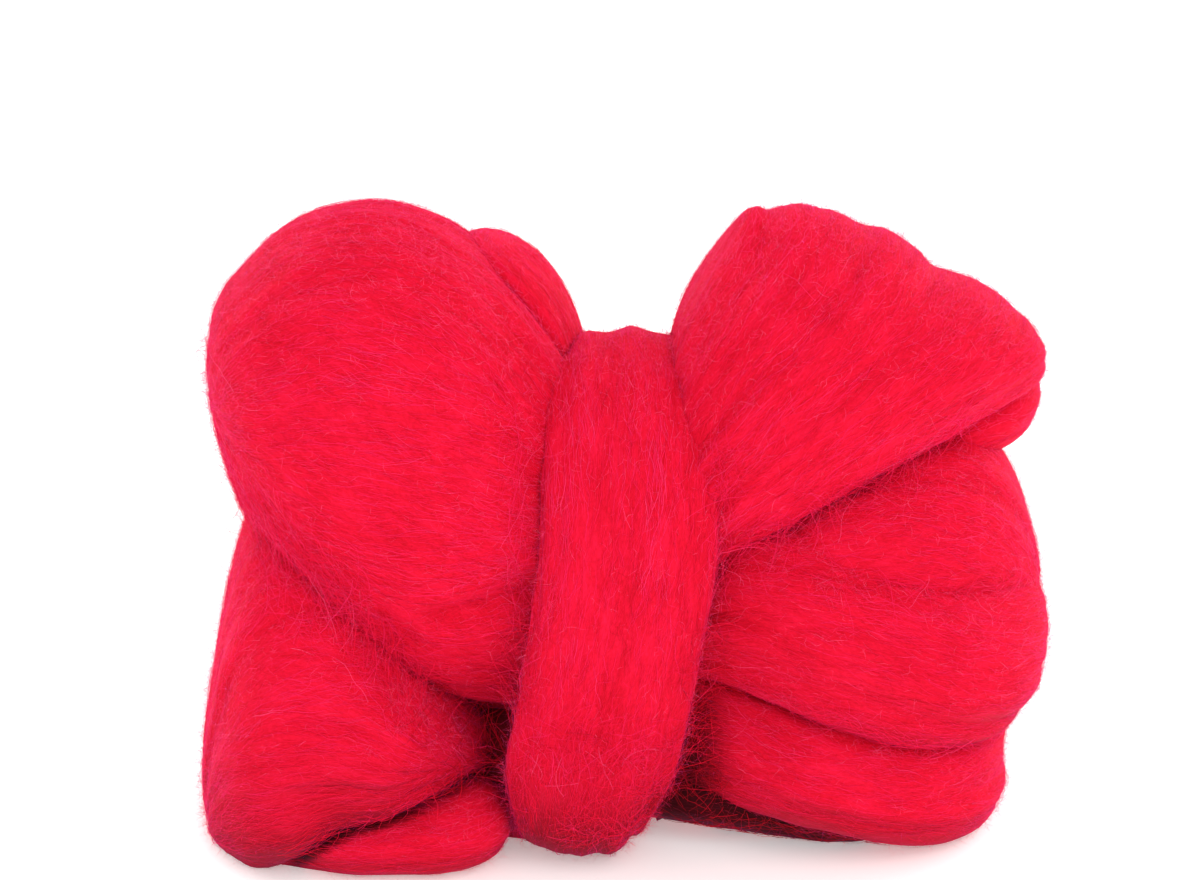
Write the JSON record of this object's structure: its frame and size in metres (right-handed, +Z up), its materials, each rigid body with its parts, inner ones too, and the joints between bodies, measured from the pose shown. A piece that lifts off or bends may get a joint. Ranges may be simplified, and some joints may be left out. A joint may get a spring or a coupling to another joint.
{
  "type": "wool roving hank",
  "caption": "Hank of dyed wool roving, folded to and fro into soft lobes and wrapped round its middle with the same roving.",
  "frame": {"origin": "on the surface that the hank stands on, under the middle of its box", "axes": "+X along the hank, towards its right end as seen from the front; +Y from the front to the back; +Z up"},
  "size_m": [0.2059, 0.0876, 0.1558],
  "materials": {
    "wool": "matte"
  },
  "bodies": {
    "root": {"roving_hank": "wool"}
  },
  "joints": []
}
